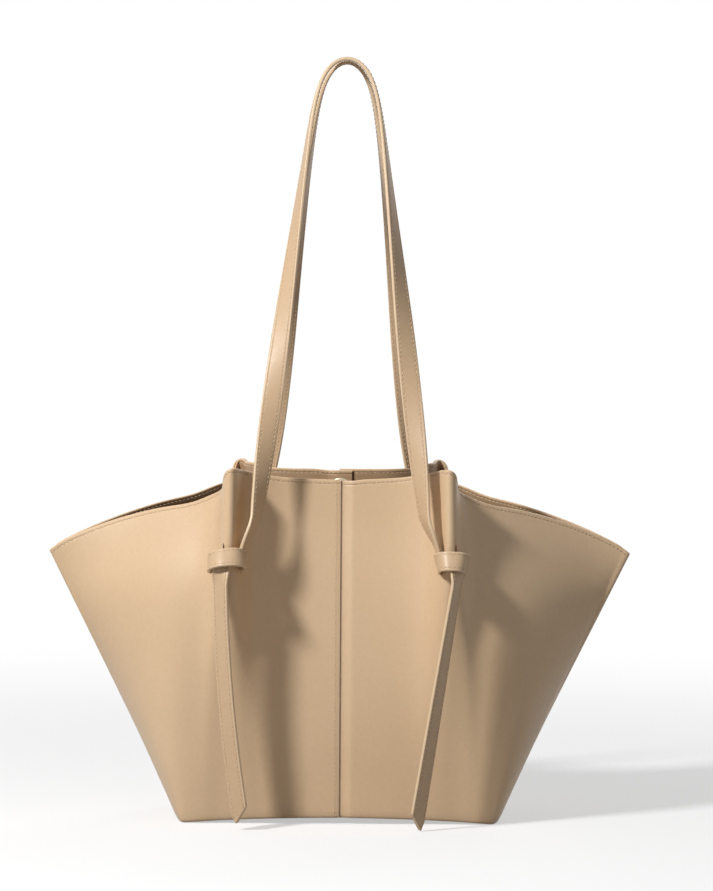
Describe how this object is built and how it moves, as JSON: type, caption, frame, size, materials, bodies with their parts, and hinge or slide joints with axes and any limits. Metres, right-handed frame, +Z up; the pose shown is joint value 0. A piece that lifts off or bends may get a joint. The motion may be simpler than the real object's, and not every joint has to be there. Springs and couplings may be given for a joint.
{
  "type": "tote bag",
  "caption": "Open-top leather tote with a trapezoid outline, gathered pleats, and long straps knotted through slits in the pleats, their loose ends hanging.",
  "frame": {"origin": "middle of the base, on the floor it stands on", "axes": "+Z up along the height, +X to the right in the picture, +Y to the back"},
  "size_m": [0.465, 0.2324, 0.606],
  "materials": {
    "body_leather": "smooth satin tan leather",
    "strap_leather": "smooth satin tan leather",
    "lining_leather": "matt tan leather, undyed flesh side",
    "base_leather": "satin tan leather",
    "board": "matt stiffener board",
    "snap": "pale satin metal"
  },
  "bodies": {
    "bag": {"left_body_half": "body_leather", "right_body_half": "body_leather", "base_panel": "base_leather", "base_board": "board", "left_mouth_facing": "lining_leather", "right_mouth_facing": "lining_leather", "inner_pocket": "lining_leather", "front_snap_cap": "snap", "back_snap_stud": "snap", "front_left_knot": "strap_leather", "front_right_knot": "strap_leather", "back_left_knot": "strap_leather", "back_right_knot": "strap_leather"},
    "front_strap": {"front_strap": "strap_leather"},
    "back_strap": {"back_strap": "strap_leather"},
    "front_left_tail": {"front_left_tail": "strap_leather"},
    "front_right_tail": {"front_right_tail": "strap_leather"},
    "back_left_tail": {"back_left_tail": "strap_leather"},
    "back_right_tail": {"back_right_tail": "strap_leather"}
  },
  "joints": [
    {"name": "front_strap_swing", "type": "hinge", "parent": "bag", "child": "front_strap", "pos_m": [0, -0.099, 0.215], "axis": [1, 0, 0], "range_deg": [0, 130]},
    {"name": "back_strap_swing", "type": "hinge", "parent": "bag", "child": "back_strap", "pos_m": [0, 0.099, 0.215], "axis": [-1, 0, 0], "range_deg": [0, 130]},
    {"name": "front_left_tail_swing", "type": "hinge", "parent": "bag", "child": "front_left_tail", "pos_m": [-0.092, -0.109, 0.1945], "axis": [-1, 0, 0], "range_deg": [0, 85]},
    {"name": "front_right_tail_swing", "type": "hinge", "parent": "bag", "child": "front_right_tail", "pos_m": [0.092, -0.109, 0.1945], "axis": [-1, 0, 0], "range_deg": [0, 85]},
    {"name": "back_left_tail_swing", "type": "hinge", "parent": "bag", "child": "back_left_tail", "pos_m": [-0.092, 0.109, 0.1945], "axis": [1, 0, 0], "range_deg": [0, 85]},
    {"name": "back_right_tail_swing", "type": "hinge", "parent": "bag", "child": "back_right_tail", "pos_m": [0.092, 0.109, 0.1945], "axis": [1, 0, 0], "range_deg": [0, 85]}
  ]
}
